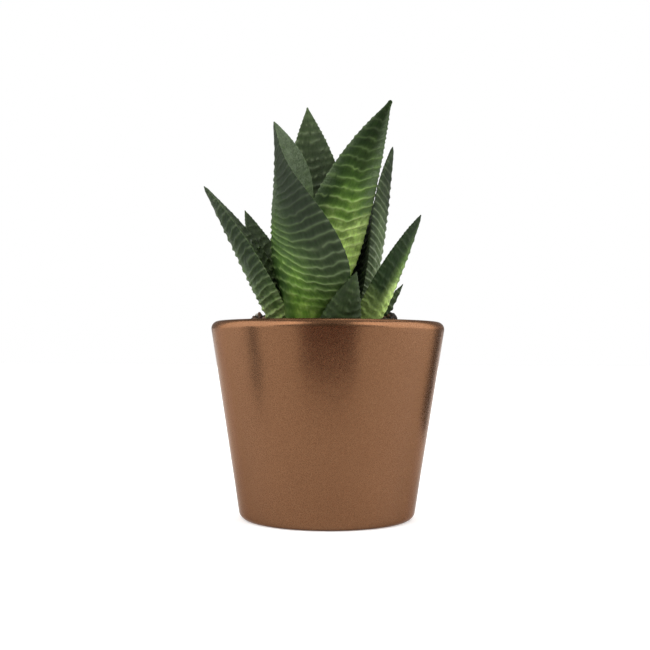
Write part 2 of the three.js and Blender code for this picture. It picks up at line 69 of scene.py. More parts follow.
# First what the CAD says of each leaf, and then its looks, at even steps:
#   tone    from root to tip: 0 is the yellow-green of a young leaf's base and 1 the dark green of its tip
#   grey    how dull the green is, from root to tip
#   lines   how pale the crests are, from root to tip, on the inner and on the outer face
#   broken  how far they fall apart into tubercles, on the inner face and at the two sides of the outer one
#   waver   how much they wander
#   dip     a place across the inner face where they hang, by a share of their spacing, and its width
#   relief  their height, as a share of that in the CAD
#   dark, bloom and slate  patches where the skin gets painted shade (where leaves shade one another and on faces
#           turned inward, in places over a darker green of its own), is frosted or is greyer: steps across the
#           inner face, across the outer one, and from root to tip
LEAVES = dict(
    leaf_centre=dict(
        root=(-1, 0, 52), tip=(-6, 0, 89), bow=(0, -2, 0), face=(-70, -70),
        width=11, widest=0.6, thickness=3.2, ridges=2.4, sag=1.5,
        tone=(0, 0.1, 0.4, 0.7, 0.9), grey=(0, 0, 0.2, 0.5, 0.6),
        lines=((0.4, 0.6, 0.5, 0.4, 0.2), (0.4, 0.6, 0.5, 0.4, 0.2)),
        broken=(0.3, 0.3, 0.3), waver=0.7, blunt=0.2,
    ),
    leaf_tall_right=dict(
        root=(-6.3, 4, 51), tip=(19.5, 10, 128.8), bow=(-8.2, 2, 0), face=(-88, -96),
        width=19.4, widest=0.58, thickness=4.6, ridges=3.3,
        inner_hang=(-4.6, -2.9, -1.7, -0.3, 0, 0.5, 1, 1.9, 2.3),
        outer_hang=(-4.6, -2.4, -0.8, 0.6, 1.7, 2.4, 2.7, 2.7, 2.3),
        tone=(-0.1, -0.1, -0.1, -0.04, 0.1, 0.4, 0.78, 1.0, 1.0), grey=(0, 0, 0.25, 0.2, 0.4),
        lines=((0.5, 0.65, 0.62, 0.55, 0.38, 0.28), (0.4, 0.7, 0.7, 0.6, 0.4)),
        broken=(0.12, 0.4, 0.4), waver=0.5, dip=(-0.3, 0.16, 0.2), blunt=0.7,
        dark=[((0, 0, 0, 0, 0, 0.1, 0.3, 0.65, 0.95, 1, 1), (0, 0), (0, 0, 0.35, 1, 0.6, 0.3))],
        bloom=[
            ((0.9, 0.6, 0.2, 0, 0, 0, 0, 0, 0), (0.3, 0.3), (0, 0, 0.1, 0.8, 0.8, 0.5)),
            ((0, 0, 0, 0, 0, 0, 0, 0.2, 0.8), (0, 0), (0, 0, 0, 0.2, 0.9, 0.7, 0.4)),
        ],
    ),
    leaf_front_left=dict(
        root=(-6.8, -4, 51), tip=(-16.4, -5, 118.5), bow=(16, -6.5, 2.4), face=(63, -31),
        width=30, widest=0.61, thickness=8, channel=0.4, ridges=2.6,
        inner_hang=(-5, -3, -1.2, 0.2, 0.8),
        outer_hang=(-5, -5, -5, -5, -4.5, -0.6, 2.6, 2.8, 0.8),
        tone=(0.1, 0.18, 0.32, 0.47, 0.58, 0.75, 0.95, 0.95, 0.8), grey=(0, 0, 0.1, 0.5, 0.8),
        lines=((0.4, 0.4, 0.4, 0.4, 0.3), (0.3, 0.4, 0.48, 0.5, 0.42, 0.16, 0.1, 0.08, 0.06)),
        broken=(0.9, 0.7, 0.0), waver=0.6, blunt=0.25,
        dark=[
            ((0, 0), (0, 0, 0, 0, 0, 0, 0, 0.1, 0.45, 0.85, 1), (0, 0.5, 0.8, 1, 1, 0.7)),
            ((0, 0), (1, 1, 1, 1, 1, 0.9, 0.4, 0, 0, 0, 0), (0.3, 0.7, 1, 0.8, 0.2, 0, 0, 0, 0)),
            ((0, 0), (0, 0, 0, 0, 0, 0, 0, 0.4, 0.95, 1, 1), (0, 0, 0, 0.4, 0.9, 1, 1, 0.5, 0.1)),
        ],
        bloom=[
            ((0, 0), (0, 0, 0, 0, 0.4, 1, 1, 0.6, 0.1, 0, 0), (0, 0, 0.2, 0.8, 0.8)),
            ((0.7, 0.7), (0, 0), (0, 0, 0, 0.2, 0.6, 0.9, 1)),
        ],
        slate=[((0, 0), (0, 0, 0, 0, 0, 0, 0.2, 0.4, 0.7, 1, 1), (0, 0, 0.4, 0.9, 1, 1, 1, 1, 1))],
    ),
    leaf_tall_back=dict(
        root=(-2, 8, 50), tip=(-6.9, 16, 127.9), bow=(1.8, 6, 0), face=(-88, -88),
        width=23.4, widest=0.6, thickness=5, ridges=2.6, sag=2.5,
        tone=(0.6, 0.85, 1.0, 0.85, 0.45), grey=(0.3, 0.6, 0.9, 1, 1),
        lines=((0.5, 0.7, 0.8, 0.55, 0.3), (0.5, 0.6, 0.6, 0.45, 0.2)),
        broken=(0.92, 0.6, 0.6), waver=0.7, blunt=0.3,
        bloom=[((0.5, 0.4, 0.2, 0.1, 0.2), (0, 0), (0, 0, 0, 0.3, 0.6, 0.4, 0.2))],
    ),
    leaf_right=dict(
        root=(5.5, 6, 50), tip=(20.2, 13, 114.9), bow=(-4.7, 3, 0), face=(212, 174),
        width=19, widest=0.46, thickness=5, ridges=2.4, sag=4,
        tone=(0.4, 0.4, 0.4, 0.3, 0.2, 0.35, 0.75, 0.95, 0.9), grey=(0.8, 0.9, 1, 1, 1),
        lines=((0.3, 0.3, 0.3, 0.3, 0.2), (0.6, 0.7, 0.7, 0.5, 0.3)),
        broken=(0.6, 0.1, 0.1), waver=0.5, blunt=0.25,
        dark=[
            ((1, 1), (0, 0), (1, 1)),
            ((0, 0), (1, 0, 0, 0, 0, 0, 0, 0, 0, 0, 0), (0, 0, 0, 0, 0.3, 0.9, 1, 0.9, 0.2, 0, 0)),
        ],
    ),
    leaf_left=dict(
        root=(-6, -2, 49), tip=(-36.9, -7, 98.8), bow=(8.2, -3, 2), face=(-4, -5),
        width=20, widest=0.55, thickness=6, ridges=2.4, sag=2,
        tone=(-0.1, 0.0, 0.35, 0.7, 0.85), grey=(0, 0.3, 0.7, 0.8, 0.9),
        lines=((0.4, 0.4, 0.3, 0.2, 0.2), (0.5, 0.45, 0.25, 0.2, 0.15)),
        broken=(0.85, 0.6, 0.5), waver=0.9, blunt=0.2,
        dark=[((0, 0), (0, 0, 0, 0, 0, 0, 0, 0.3, 0.9, 1, 1), (0, 0, 0.7, 1, 1, 0.3))],
        bloom=[((0.6, 0.6), (0.2, 0.2, 0.2, 0.2, 0.2, 0.3, 0.4, 0.1, 0), (0.3, 1, 0.8, 0.5, 0.5))],
    ),
    leaf_front_right=dict(
        root=(6, -4, 49), tip=(27.5, -6, 90.8), bow=(-2.8, -3, -0.5), face=(155, 160),
        width=14, widest=0.62, thickness=3.2, ridges=2.3, sag=2,
        tone=(-0.1, -0.1, 0, 0.35, 0.75), grey=(0.1, 0.2, 0.3, 0.5, 0.8),
        lines=((0.3, 0.3, 0.2, 0.2, 0.1), (0.12, 0.12, 0.1, 0.08, 0.06)),
        broken=(0.8, 0.8, 0.7), waver=1, relief=0.6, blunt=0.25,
        dark=[((1, 1), (1, 1, 1, 0.8, 0.3, 0, 0, 0, 0, 0, 0), (0, 0.5, 1, 1, 1))],
    ),
    leaf_back_left=dict(
        root=(-5, 6, 49), tip=(-26.5, 14, 94.7), bow=(-0.3, 3, -0.3), face=(-50, -50),
        width=14, widest=0.6, thickness=4.4, ridges=2.4, sag=2,
        tone=(0.5, 0.6, 0.7, 0.75, 0.8), grey=(0.9, 0.9, 0.9, 0.9, 0.9),
        lines=((0.4, 0.5, 0.5, 0.4, 0.2), (0.4, 0.5, 0.5, 0.4, 0.2)),
        broken=(0.95, 0.5, 0.5), waver=1, blunt=0.2,
        bloom=[((0.5, 0.5), (0.5, 0.5), (0.3, 0.6, 0.5))],
    ),
    leaf_back_right=dict(
        root=(3, 9, 48), tip=(6, 28, 98.6), bow=(1, 4, 0), face=(-105, -105),
        width=18, widest=0.6, thickness=4.8, ridges=2.6, sag=2.5,
        tone=(0.1, 0.3, 0.5, 0.75, 0.9), grey=(0.1, 0.3, 0.5, 0.7, 0.8),
        lines=((0.5, 0.6, 0.5, 0.4, 0.2), (0.5, 0.6, 0.5, 0.4, 0.2)),
        broken=(0.6, 0.4, 0.3), waver=0.8, blunt=0.25,
    ),
    leaf_back_outer=dict(
        root=(-4, 9, 47), tip=(-10.8, 30, 94.6), bow=(-2, 4, 0), face=(-70, -70),
        width=17, widest=0.6, thickness=4.8, ridges=2.6, sag=2.5,
        tone=(0.1, 0.3, 0.5, 0.75, 0.9), grey=(0.1, 0.3, 0.5, 0.7, 0.8),
        lines=((0.5, 0.6, 0.5, 0.4, 0.2), (0.5, 0.6, 0.5, 0.4, 0.2)),
        broken=(0.6, 0.3, 0.5), waver=0.8, blunt=0.25,
    ),
    leaf_front_small=dict(
        root=(0, -6, 46), tip=(8.1, -18, 72.8), bow=(-1, -5, -2), face=(92, 100),
        width=13, widest=0.72, thickness=3.2, ridges=2.3, sag=1.5,
        tone=(0.6, 0.65, 0.75, 0.8, 0.8), grey=(0.3, 0.5, 0.6, 0.7, 0.8),
        lines=((0.2, 0.2, 0.2, 0.15, 0.1), (0.15, 0.18, 0.18, 0.15, 0.1)),
        broken=(0.9, 0.9, 0.9), waver=1, blunt=0.25,
    ),
    leaf_right_small=dict(
        root=(7, 2, 47), tip=(23, 4, 70.9), bow=(-2, 0, -1), face=(175, 160),
        width=7, widest=0.7, thickness=1.8, ridges=2.2, sag=1,
        tone=(0.5, 0.55, 0.6, 0.7, 0.8), grey=(0.6, 0.7, 0.8, 0.8, 0.8),
        lines=((0.4, 0.4, 0.4, 0.3, 0.2), (0.4, 0.5, 0.5, 0.4, 0.2)),
        broken=(0.7, 0.6, 0.6), waver=1, blunt=0.2,
    ),
)

# ------------------------------------------------------------------ numbers


def smoothstep(x, low, high):
    t = np.clip((x - low) / (high - low), 0, 1)
    return t * t * (3 - 2 * t)


def mix(a, b, t):
    return a + (b - a) * t


def lattice(cells, seed):
    """A repeatable draw between -1 and 1 for each row of whole numbers."""
    h = np.full(cells.shape[:-1], seed * 974711 + 12345, np.uint32)
    for i, prime in enumerate((374761393, 668265263, 2246822519)[: cells.shape[-1]]):
        cell = (cells[..., i].astype(np.int64) & 0xFFFFFFFF).astype(np.uint32)
        h = (h ^ cell * np.uint32(prime)) * np.uint32(1274126177)
        h ^= h >> np.uint32(15)
    return (h & np.uint32(0xFFFF)).astype(float) / 32767.5 - 1


def noise(*coordinates, seed=0):
    """Smooth noise between -1 and 1 with one cell per unit, in one to three dimensions."""
    p = np.stack(np.broadcast_arrays(*[np.asarray(c, float) for c in coordinates]), -1)
    low = np.floor(p)
    f = p - low
    f = f * f * (3 - 2 * f)
    low = low.astype(np.int64)
    total = 0
    for corner in np.ndindex(*(2,) * p.shape[-1]):
        weight = np.prod(np.where(np.array(corner) == 1, f, 1 - f), -1)
        total = total + weight * lattice(low + np.array(corner), seed)
    return total


# ------------------------------------------------------------------ meshes


def mesh_piece(name, points, quads, triangles=(), values=None, uv=None):
    """A mesh object from arrays, with its points in millimetres.

    values are attributes of its points. uv has one row for each corner, of the quads and then the triangles."""
    quads = np.asarray(quads, np.int32).reshape(-1, 4)
    triangles = np.asarray(triangles, np.int32).reshape(-1, 3)
    mesh = bpy.data.meshes.new(name)
    mesh.vertices.add(len(points))
    mesh.vertices.foreach_set("co", (np.asarray(points) * MM).astype(np.float32).ravel())
    corners = np.concatenate([quads.ravel(), triangles.ravel()])
    mesh.loops.add(len(corners))
    mesh.loops.foreach_set("vertex_index", corners)
    mesh.polygons.add(len(quads) + len(triangles))
    starts = np.concatenate([np.arange(len(quads)) * 4, len(quads) * 4 + np.arange(len(triangles)) * 3])
    mesh.polygons.foreach_set("loop_start", starts.astype(np.int32))
    if uv is not None:
        layer = mesh.uv_layers.new(name="OFBake")
        layer.data.foreach_set("uv", np.asarray(uv, np.float32).ravel())
    for key, value in (values or {}).items():
        kind, field = ("FLOAT_VECTOR", "vector") if value.ndim == 2 else ("FLOAT", "value")
        attribute = mesh.attributes.new(key, kind, "POINT")
        attribute.data.foreach_set(field, value.astype(np.float32).ravel())
    mesh.update(calc_edges=True)
    mesh.validate()
    mesh.polygons.foreach_set("use_smooth", np.full(len(mesh.polygons), True))
    piece = bpy.data.objects.new(name, mesh)
    bpy.context.scene.collection.objects.link(piece)
    return piece


def grid_quads(rows, columns):
    """The quads of rows of points that each close into a ring."""
    i, j = np.meshgrid(np.arange(rows - 1), np.arange(columns), indexing="ij")
    a = i * columns + j
    b = i * columns + (j + 1) % columns
    return np.stack([a, b, b + columns, a + columns], -1).reshape(-1, 4)


def cap_triangles(rows, columns, low, high):
    """The triangles that close the first of those rows at the point low, and the last one at the point high."""
    ring = np.arange(columns)
    following = (ring + 1) % columns
    last = (rows - 1) * columns
    return np.concatenate(
        [
            np.stack([following, ring, np.full(columns, low)], -1),
            np.stack([last + ring, last + following, np.full(columns, high)], -1),
        ]
    )


def ring_uv(u, v, quads, triangles, columns, patch):
    """Corners laid out on a grid, with the ring opened at its first column. patch is its place in the map."""
    left, bottom, width, height = patch
    spots = []
    for faces in (quads, triangles):
        if len(faces) == 0:
            continue
        column = faces % columns
        wraps = (column.max(1) == columns - 1) & (column.min(1) == 0)
        over = np.where(wraps[:, None] & (column == 0), 1.0, u[faces])
        spots.append(np.stack([left + width * over, bottom + height * v[faces]], -1).reshape(-1, 2))
    return np.concatenate(spots)


# ------------------------------------------------------------------ leaves


def half_width(leaf, from_tip):
    full = leaf["width"] / 2
    swelling = full * (1 - (1 - from_tip / leaf["widest"]) ** 2)
    narrowing = np.cos(math.pi / 2 * (from_tip - leaf["widest"]) / (1 - leaf["widest"])) ** 2
    return np.where(from_tip < leaf["widest"], swelling, full * mix(LEAF["root_width"], 1, narrowing))


def leaf_skin(leaf, along, angle):
    """Places on a leaf's smooth skin, with the outward direction of its relief, as the CAD has them."""
    root, tip, bow = (np.array(leaf[key], float) for key in ("root", "tip", "bow"))
    bend = (root + tip) / 2 + bow
    across, inside, depth = np.cos(angle), np.sin(angle) > 0, np.abs(np.sin(angle))
    bulk = half_width(leaf, 1 - along) / (leaf["width"] / 2)
    if "outer_hang" in leaf:
        place = (1 + across) / 2
        hang = np.where(inside, by_steps(leaf["inner_hang"], place), by_steps(leaf["outer_hang"], place))
        hang = hang * smoothstep(along, *UNEVEN_SAG_FADE)
    else:
        hang = np.where(inside, LEAF["inner_sag"], leaf["sag"]) * depth**2 * smoothstep(along, *SAG_FADE)
    hang = hang * bulk
    share = np.maximum(along - hang / leaf["length"], 0)

    t = share[..., None]
    spine = (1 - t) ** 2 * root + 2 * t * (1 - t) * bend + t * t * tip
    tangent = 2 * (1 - t) * (bend - root) + 2 * t * (tip - bend)
    tangent /= np.linalg.norm(tangent, axis=-1, keepdims=True)
    look = np.radians(mix(*leaf["face"], smoothstep(share, 0, 1)))
    normal = np.stack([np.cos(look), np.sin(look), np.zeros_like(look)], -1)
    normal -= (normal * tangent).sum(-1, keepdims=True) * tangent
    normal /= np.linalg.norm(normal, axis=-1, keepdims=True)
    side = np.cross(normal, tangent)

    to_tip = (1 - share) * leaf["length"]
    dome = np.sqrt(np.maximum(leaf["blunt"] ** 2 - np.maximum(leaf["blunt"] - to_tip, 0) ** 2, 0))
    width = (half_width(leaf, 1 - share) ** 3 + (dome * smoothstep(share, 0.5, 0.9)) ** 3) ** (1 / 3)
    thickness = leaf["thickness"] * (1 - (1 - np.minimum((1 - share) / LEAF["thickest"], 1)) ** 2)
    edge = np.minimum(LEAF["edge"], 0.6 * width) * depth**0.7
    hollow = leaf.get("channel", LEAF["channel"]) * width * depth**2
    height = np.where(inside, edge - hollow, -edge - hollow - thickness * depth**1.5)
    out = side * (across**3)[..., None] + normal * np.where(inside, depth, -depth)[..., None]
    out /= np.linalg.norm(out, axis=-1, keepdims=True)
    place = spine + side * (across * width)[..., None] + normal * height[..., None]
    return place, out, width


def by_steps(values, along):
    return np.interp(along, np.linspace(0, 1, len(values)), values)


def patchy(patches, along, across, inside):
    """A value over a leaf's skin: the largest of patches with steps across the two faces and along the leaf."""
    value, half = np.zeros(along.shape), (1 + across) / 2
    for inner, outer, lengthwise in patches:
        wide = np.where(inside, by_steps(inner, half), by_steps(outer, half))
        value = np.maximum(value, wide * by_steps(lengthwise, along))
    return value


def skin_places(leaf, along, across, inside, width):
    """Where the points of a leaf's skin are, in millimetres across it and from its root, for the noises."""
    return across * width + np.where(inside, 0, OUTER_FACE), along * leaf["length"]


def cross_ridges(leaf, along, across, inside, width, seed):
    """The relief of a leaf's skin in millimetres, its crests, and the swell that each stands on."""
    x, s = skin_places(leaf, along, across, inside, width)
    margin = 1 - smoothstep(width - np.abs(across * width), 0.0, RIDGE["margin"])
    ridged = leaf["length"] - RIDGE["plain_root"] - RIDGE["plain_tip"]
    spacing = ridged / round(ridged / leaf["ridges"])
    phase = (s - RIDGE["plain_root"]) / spacing
    rootness = 1 - smoothstep(along, 0.2, 0.5)
    phase = phase + leaf["waver"] * (1 - margin) * (
        0.26 * noise(phase * 0.7, x * 0.28, seed=seed)
        + 0.2 * noise(phase * 1.3, x * 1.1, seed=seed + 1)
        + 0.22 * rootness * noise(phase * 2.3, x * 2.4, seed=seed + 2)
    )
    dip_at, dip_depth, dip_width = leaf.get("dip", (0, 0, 1))
    in_dip = np.where(inside, np.exp(-(((across - dip_at) / dip_width) ** 2)), 0)
    phase = phase + dip_depth * in_dip
    number = np.floor(phase)
    off = phase - number - 0.5

    # A crest falls apart into beads where the draw is below what the leaf says.
    inner, left, right = leaf["broken"]
    broken = np.where(inside, inner, mix(left, right, (1 + across) / 2))
    broken = broken * (1 - 0.75 * margin) + 1.2 * dip_depth * in_dip**4
    draw = noise(number * 3.7, x / mix(*RIDGE["bead"], inner), seed=seed + 3)
    draw = draw + 0.25 * noise(number * 5.1, x / 3.5, seed=seed + 4)
    whole = smoothstep(draw, -1.3 + 1.25 * broken, -0.75 + 1.25 * broken)
    crest = np.exp(-((off / mix(*RIDGE["crest"], broken)) ** 2)) * whole
    crest = crest * (0.85 + 0.15 * noise(number * 2.3, x * 2.2, seed=seed + 8))
    swell = 0.5 + 0.5 * np.cos(2 * np.pi * off)

    root_fade = smoothstep(along, *RIDGE["root_fade"])
    tip_fade = smoothstep(1 - along, 0.01, 0.1) * root_fade
    fade = smoothstep(1 - along, 0, RIDGE["tip_fade"]) * root_fade * np.where(phase > 0, 1, 0)
    relief = 0.35 * swell * fade + mix(0.65, 0.95, broken) * crest * mix(fade, tip_fade, 0.35)
    relief = RIDGE["relief"] * relief * leaf.get("relief", 1) * (1 - 0.6 * margin)
    # Each ridge ends in a tooth on the margin, and there is another between two of them.
    tooth = (0.5 + 0.5 * np.cos(4 * np.pi * off)) ** 2
    tooth = tooth * mix(0.6, 1.0, 0.5 + 0.5 * lattice(number[..., None], seed + 7))
    relief = relief + RIDGE["tooth"] * tooth * margin**2 * tip_fade
    grain = 0.03 * noise(x / 0.7, s / 0.7, seed=seed + 5) + 0.05 * noise(x / 2.6, s / 4, seed=seed + 6)
    return relief + grain * smoothstep(1 - along, 0, 0.05), crest * tip_fade, swell


def leaf_piece(name, leaf, seed):
    root, tip, bow = (np.array(leaf[key], float) for key in ("root", "tip", "bow"))
    t = np.linspace(0, 1, 400)[:, None]
    spine = (1 - t) ** 2 * root + 2 * t * (1 - t) * ((root + tip) / 2 + bow) + t * t * tip
    leaf["length"] = np.linalg.norm(np.diff(spine, axis=0), axis=1).sum()

    rows = int(leaf["length"] / FACET["along"])
    inner = int(leaf["width"] / FACET["inner"]) + 14
    outer = int(leaf["width"] / FACET["outer"]) + 18
    columns = inner + outer
    angles = np.concatenate([np.pi * np.arange(inner) / inner, np.pi * (1 + np.arange(outer) / outer)])
    shares = 1 - (1 - np.linspace(0, 1, rows + 1)[:-1]) ** 1.06
    along, angle = np.meshgrid(shares, angles, indexing="ij")
    across, inside = np.cos(angle), np.sin(angle) > 0
    place, out, width = leaf_skin(leaf, along, angle)
    relief, crest, swell = cross_ridges(leaf, along, across, inside, width, seed)
    points = (place + out * relief[..., None]).reshape(-1, 3)
    low, high = len(points), len(points) + 1
    points = np.concatenate([points, [points[:columns].mean(0)], [tip]])
    quads = grid_quads(rows, columns)
    triangles = cap_triangles(rows, columns, low, high)

    def spread(value, at_root=0.0, at_tip=0.0):
        return np.concatenate([np.asarray(value, float).ravel(), [at_root, at_tip]])

    def spread_patches(key):
        return spread(patchy(leaf.get(key, ()), along, across, inside))

    u = spread(np.broadcast_to(np.arange(columns) / columns, along.shape), 0.5, 0.5)
    v = spread(along, 0, 1)
    x, s = skin_places(leaf, along, across, inside, width)
    pale = np.where(inside, by_steps(leaf["lines"][0], along), by_steps(leaf["lines"][1], along))
    values = dict(
        skin=np.stack([spread(x), spread(s, 0, leaf["length"]), spread(inside * 40.0)], -1),
        line=spread(pale * crest),
        hump=spread(swell, 0, 0.5),
        rim=spread(1 - smoothstep(width - np.abs(across * width), 0.1, 1.0), 0, 1),
        # painted shade, from the dark patches: where leaves shade one another and on faces turned inward
        painted_shade=spread_patches("dark"),
        bloom=spread_patches("bloom"),
        tone=by_steps(leaf["tone"], v),
        grey=np.maximum(by_steps(leaf["grey"], v), spread_patches("slate")),
    )
    uv = ring_uv(u, v, quads, triangles, columns, (0.01, 0.01, 0.98, 0.98))
    piece = mesh_piece(name.replace("leaf_", "haworthia_leaf_"), points, quads, triangles, values, uv)
    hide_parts(name)
    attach(piece, "root")
    return piece


# ------------------------------------------------------------------ pot

# The wall's slant from the upright, as the straight line that touches the roundings of the base and the rim.
WALL_RISE = POT["height"] - POT["rim_round"] - POT["base_round"]
WALL_RUN = POT["rim"] - POT["rim_round"] - (POT["base"] - POT["base_round"])
SLANT = math.atan2(WALL_RUN, WALL_RISE) - math.asin(
    (POT["base_round"] - POT["rim_round"]) / math.hypot(WALL_RISE, WALL_RUN)
)


def inner_radius(z):
    return POT["base"] + math.tan(SLANT) * (z - POT["base_round"]) - POT["wall"] / math.cos(SLANT)


def arc(r, z, radius, start, end, steps):
    a = np.linspace(start, end, steps + 1)
    return np.stack([r + radius * np.cos(a), z + radius * np.sin(a)], -1)


def line(start, end, steps):
    return np.linspace(start, end, steps + 1)[1:-1]


def pot_piece():
    right = math.pi / 2
    lip = POT["height"] - POT["lip_round"]
    inner = POT["floor"] + POT["inside_round"]
    middle = 0.6  # radius of the small discs that close the floor
    round_of = {key: POT[key + "_round"] for key in ("base", "rim", "lip", "inside")}
    base = arc(POT["base"] - round_of["base"], round_of["base"], round_of["base"], -right, -SLANT, 12)
    rim = arc(POT["rim"] - round_of["rim"], POT["height"] - round_of["rim"], round_of["rim"], -SLANT, right, 16)
    mouth = arc(inner_radius(lip) + round_of["lip"], lip, round_of["lip"], right, 2 * right - SLANT, 8)
    corner = arc(inner_radius(inner) - round_of["inside"], inner, round_of["inside"], -SLANT, -right, 8)
    profile = np.concatenate(
        [
            line((middle, 0), base[0], 14),
            base,
            line(base[-1], rim[0], 50),
            rim,
            line(rim[-1], mouth[0], 3),
            mouth,
            line(mouth[-1], corner[0], 30),
            corner,
            line(corner[-1], (middle, POT["floor"]), 10),
        ]
    )
    sides = 240
    angle = 2 * np.pi * np.arange(sides) / sides
    radius, height = profile[:, :1], profile[:, 1:]
    points = np.stack([radius * np.cos(angle), radius * np.sin(angle), height + 0 * angle], -1)
    # A hand-glazed wall is never quite true.
    wobble = 1 + 0.0007 * noise(3 * np.cos(angle), 3 * np.sin(angle), height * 0.06, seed=90)
    points[..., :2] *= wobble[..., None]
    rows = len(profile)
    points = np.concatenate([points.reshape(-1, 3), [(0, 0, 0)], [(0, 0, POT["floor"])]])
    quads = grid_quads(rows, sides)
    triangles = cap_triangles(rows, sides, len(points) - 2, len(points) - 1)
    path = np.concatenate([[0], np.cumsum(np.linalg.norm(np.diff(profile, axis=0), axis=1))])
    u = np.concatenate([np.broadcast_to(np.arange(sides) / sides, (rows, sides)).ravel(), [0.5, 0.5]])
    v = np.concatenate([np.repeat(path / path[-1], sides), [0, 1]])
    uv = ring_uv(u, v, quads, triangles, sides, (0.005, 0.005, 0.99, 0.99))
    piece = mesh_piece("copper_pot", points, quads, triangles, uv=uv)
    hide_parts("pot")
    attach(piece, "root")
    return piece


# ------------------------------------------------------------------ soil


def soil_level(x, y):
    """The height of the potting soil's surface, with its lumps."""
    radius = np.hypot(x, y)
    level = mix(SOIL["mound_level"], SOIL["edge_level"], smoothstep(radius, SOIL["mound_radius"], 30.5))
    for heap_x, heap_y, rise, spread in HEAPS:
        level = level + rise * np.exp(-((x - heap_x) ** 2 + (y - heap_y) ** 2) / spread**2)
    lumps = 0.4 * noise(x / 4.5, y / 4.5, seed=40) + 0.3 * noise(x / 2.1, y / 2.1, seed=41)
    crumbs = 0.22 * noise(x / 0.95, y / 0.95, seed=42) + 0.1 * noise(x / 0.5, y / 0.5, seed=43)
    return level + lumps + crumbs - 0.3


def soil_piece():
    sides, rings = 300, 110
    edge = inner_radius(SOIL["edge_level"]) - SOIL["gap"]
    foot = inner_radius(POT["floor"] + POT["inside_round"]) - SOIL["gap"]
    bottom = POT["floor"] + SOIL["gap"]
    angle = 2 * np.pi * np.arange(sides) / sides
    radius = edge * np.linspace(1, 0.012, rings) ** 0.8
    x, y = radius[:, None] * np.cos(angle), radius[:, None] * np.sin(angle)
    top = np.stack([x, y, soil_level(x, y)], -1)
    wall = [
        (foot - POT["inside_round"], bottom),
        (foot, bottom + POT["inside_round"]),
        (edge, SOIL["edge_level"] - 2),
    ]
    wall = [np.stack([r * np.cos(angle), r * np.sin(angle), np.full(sides, z)], -1) for r, z in wall]
    rows = np.concatenate([np.array(wall), top])
    points = np.concatenate([rows.reshape(-1, 3), [(0, 0, bottom)], [(0, 0, float(soil_level(0, 0)))]])
    triangles = cap_triangles(len(rows), sides, len(points) - 2, len(points) - 1)
    piece = mesh_piece("potting_soil", points, grid_quads(len(rows), sides), triangles)
    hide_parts("soil")
    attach(piece, "root")
    return piece


def ball(levels):
    """Points and triangles of a unit ball from a split icosahedron."""
    g = (1 + 5**0.5) / 2
    points = [(-1, g, 0), (1, g, 0), (-1, -g, 0), (1, -g, 0), (0, -1, g), (0, 1, g)]
    points += [(0, -1, -g), (0, 1, -g), (g, 0, -1), (g, 0, 1), (-g, 0, -1), (-g, 0, 1)]
    faces = [(0, 11, 5), (0, 5, 1), (0, 1, 7), (0, 7, 10), (0, 10, 11)]
    faces += [(1, 5, 9), (5, 11, 4), (11, 10, 2), (10, 7, 6), (7, 1, 8)]
    faces += [(3, 9, 4), (3, 4, 2), (3, 2, 6), (3, 6, 8), (3, 8, 9)]
    faces += [(4, 9, 5), (2, 4, 11), (6, 2, 10), (8, 6, 7), (9, 8, 1)]
    points = [np.array(p, float) / np.linalg.norm(p) for p in points]
    for _ in range(levels):
        middles, split = {}, []
        for face in faces:
            mids = []
            for a, b in zip(face, face[1:] + face[:1]):
                key = (min(a, b), max(a, b))
                if key not in middles:
                    middle = points[a] + points[b]
                    middles[key] = len(points)
                    points.append(middle / np.linalg.norm(middle))
                mids.append(middles[key])
            (a, b, c), (ab, bc, ca) = face, mids
            split += [(a, ab, ca), (b, bc, ab), (c, ca, bc), (ab, bc, ca)]
        faces = split
    return np.array(points), np.array(faces)


def turns(rng, count):
    """Random rotations."""
    q = rng.normal(size=(count, 4))
    w, x, y, z = (q / np.linalg.norm(q, axis=1, keepdims=True)).T
    rows = [
        [1 - 2 * (y * y + z * z), 2 * (x * y - z * w), 2 * (x * z + y * w)],
        [2 * (x * y + z * w), 1 - 2 * (x * x + z * z), 2 * (y * z - x * w)],
        [2 * (x * z - y * w), 2 * (y * z + x * w), 1 - 2 * (x * x + y * y)],
    ]
    return np.moveaxis(np.array(rows), -1, 0)


def scatter(name, seed, count, sizes, stretch, levels, sink, roughness=0.25):
    """Loose grains on the soil in one mesh, from the smallest to the largest of sizes, each with its own tone."""
    rng = np.random.default_rng(seed)
    angle = rng.uniform(0, 2 * np.pi, count)
    size = mix(sizes[0], sizes[1], rng.random(count) ** 2.2)
    radius = (GRAIN_REACH - 0.6 * size) * np.sqrt(rng.uniform(0.02, 1, count))
    x, y = radius * np.cos(angle), radius * np.sin(angle)
    z = soil_level(x, y) + size * (0.5 - sink) * 0.6
    # The soil is level at the front, where only the leaves rise above the rim.
    z = np.where(y < -10, np.minimum(z, POT["height"] - 0.8 - 0.6 * size), z)
    shape, faces = ball(levels)
    bumps = noise(*(shape.T[:, None] * 1.7 + rng.uniform(0, 90, (3, count, 1))), seed=seed)
    form = shape[None] * (1 + roughness * bumps)[..., None]
    scale = size[:, None] / 2 * mix(1, np.array(stretch), rng.random((count, 1)))
    form = np.einsum("nij,npj->npi", turns(rng, count), form * scale[:, None])
    points = form + np.stack([x, y, z], -1)[:, None]
    every = (faces[None] + len(shape) * np.arange(count)[:, None, None]).reshape(-1, 3)
    tone = np.repeat(rng.random(count), len(shape))
    piece = mesh_piece(name, points.reshape(-1, 3), [], every, dict(tone=tone))
    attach(piece, "root")
    return piece


# ------------------------------------------------------------------ materials


